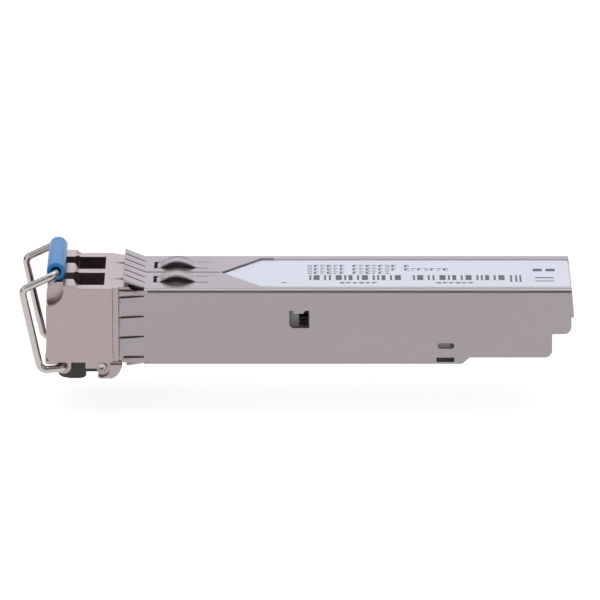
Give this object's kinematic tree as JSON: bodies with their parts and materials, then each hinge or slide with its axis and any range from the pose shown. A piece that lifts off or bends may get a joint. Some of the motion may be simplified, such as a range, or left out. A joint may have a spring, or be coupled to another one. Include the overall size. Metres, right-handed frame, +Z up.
{
  "type": "optical transceiver module",
  "caption": "Small pluggable optical transceiver: cast nose with duplex fibre ports, folded metal sleeve, card-edge tail, and a wire bail with a plastic grip that works a rocking latch lever.",
  "frame": {"origin": "the latch shoulder station on the body's bottom plane, on the centreline", "axes": "+X to the rear, the way the module is pushed in; +Y across; +Z up, away from the latch"},
  "size_m": [0.0597, 0.0142, 0.0131],
  "materials": {
    "cast_metal": "satin nickel plate on a die casting",
    "sheet_metal": "satin nickel-plated sheet",
    "label_paper": "smooth white film",
    "wire_steel": "polished",
    "grip_plastic": "moulded, slightly glossy",
    "lever_plastic": "moulded black",
    "pin_steel": "turned",
    "board": "solder mask",
    "gold": "gold plate",
    "white_ceramic": "polished zirconia",
    "flex_film": "polyimide film",
    "chip_plastic": "moulded epoxy",
    "pad_rubber": "soft gap filler",
    "capacitor_ceramic": "matte"
  },
  "bodies": {
    "module": {"base_housing": "cast_metal", "outer_sleeve": "sheet_metal", "label": "label_paper", "lever_pin": "pin_steel", "circuit_board": "board", "contacts_top": "gold", "contacts_bottom": "gold", "board_shield": "sheet_metal", "tx_nozzle": "pin_steel", "tx_sleeve": "white_ceramic", "tx_ferrule": "white_ceramic", "tx_can": "pin_steel", "tx_header": "gold", "tx_flex": "flex_film", "rx_nozzle": "pin_steel", "rx_sleeve": "white_ceramic", "rx_ferrule": "white_ceramic", "rx_can": "pin_steel", "rx_header": "gold", "rx_flex": "flex_film", "laser_driver": "chip_plastic", "limiting_amplifier": "chip_plastic", "controller": "chip_plastic", "memory_chip": "chip_plastic", "thermal_pad": "pad_rubber", "capacitors": "capacitor_ceramic", "resistors": "chip_plastic", "inductors": "chip_plastic"},
    "bail": {"bail_wire": "wire_steel", "bail_grip": "grip_plastic"},
    "lever": {"latch_lever": "lever_plastic"}
  },
  "joints": [
    {"name": "bail_pivot", "type": "hinge", "parent": "module", "child": "bail", "pos_m": [-0.0097, 0, -0.00045], "axis": [0, -1, 0], "range_deg": [0, 90]},
    {"name": "lever_pivot", "type": "hinge", "parent": "module", "child": "lever", "pos_m": [-0.00557, 0, -0.00015], "axis": [0, 1, 0], "range_deg": [0, 6.5]}
  ],
  "couplings": [
    {"joint": "lever_pivot", "follows": "bail_pivot", "ratio": 0.0722}
  ]
}
